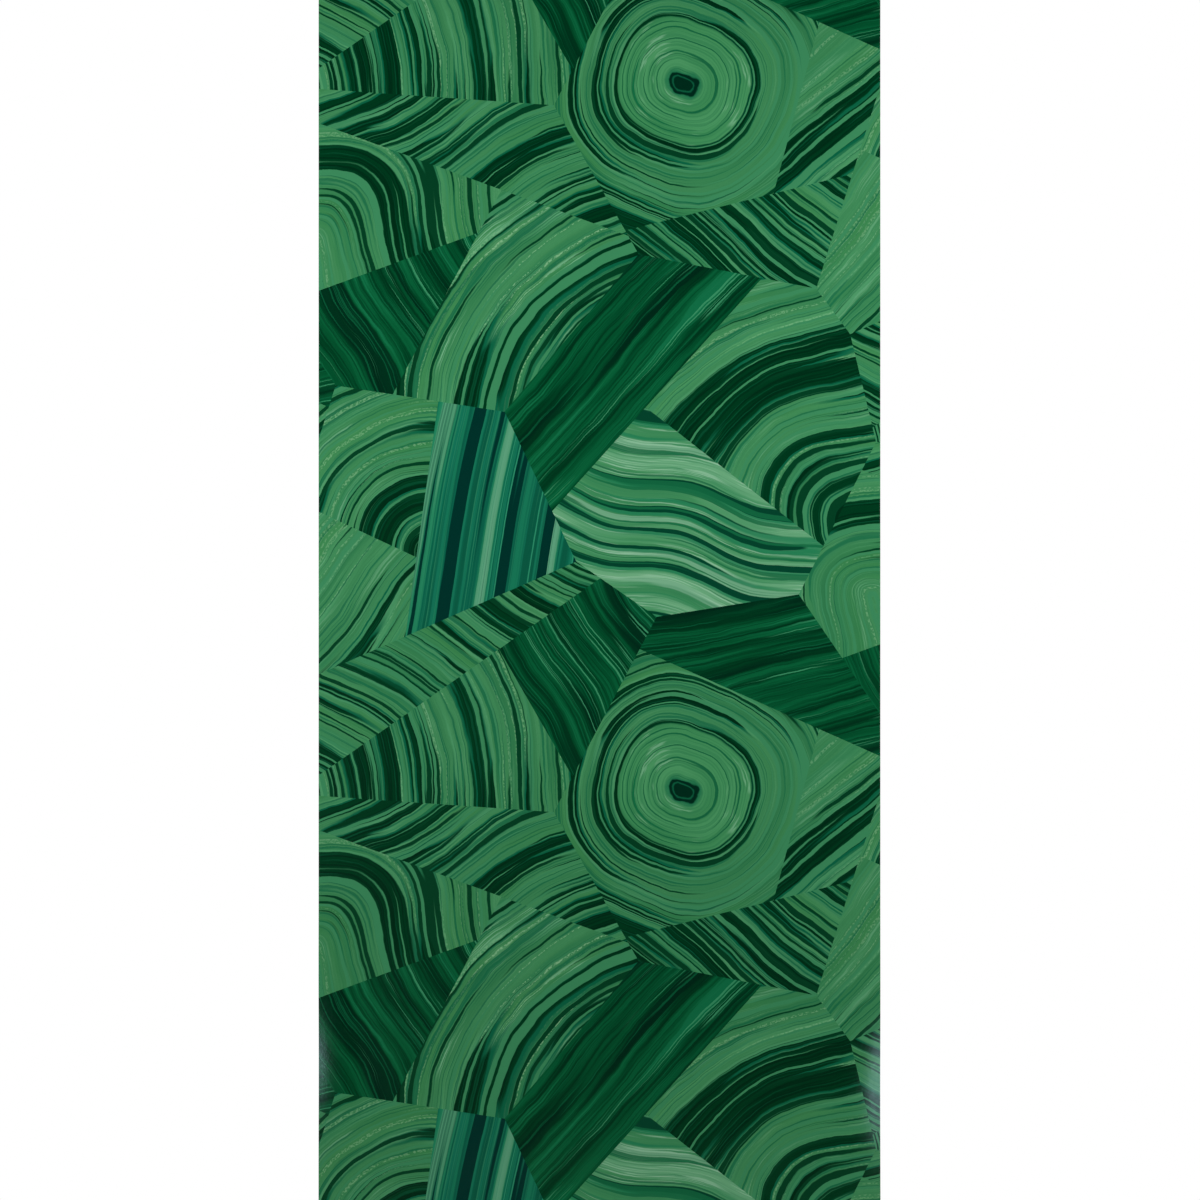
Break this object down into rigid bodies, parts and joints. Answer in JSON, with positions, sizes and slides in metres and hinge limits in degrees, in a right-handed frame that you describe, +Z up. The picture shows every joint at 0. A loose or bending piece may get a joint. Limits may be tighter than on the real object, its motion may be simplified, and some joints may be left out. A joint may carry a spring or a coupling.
{
  "type": "wallpaper drop",
  "caption": "Straight length of printed wallpaper with a banded green malachite-mosaic print, hung flat on a wall, its lower edges lifting a little.",
  "frame": {"origin": "the middle of the sheet's flat back, where it lies against the wall", "axes": "+X to the right of the print, +Y into the wall, out of the back, so the print faces -Y, and +Z up along the sheet"},
  "size_m": [0.53, 0.0139, 1.333],
  "materials": {
    "printed_paper": "smooth satin non-woven wallpaper printed with banded green malachite slabs, off-white on its back"
  },
  "bodies": {
    "root": {"wallpaper_sheet": "printed_paper"}
  },
  "joints": []
}
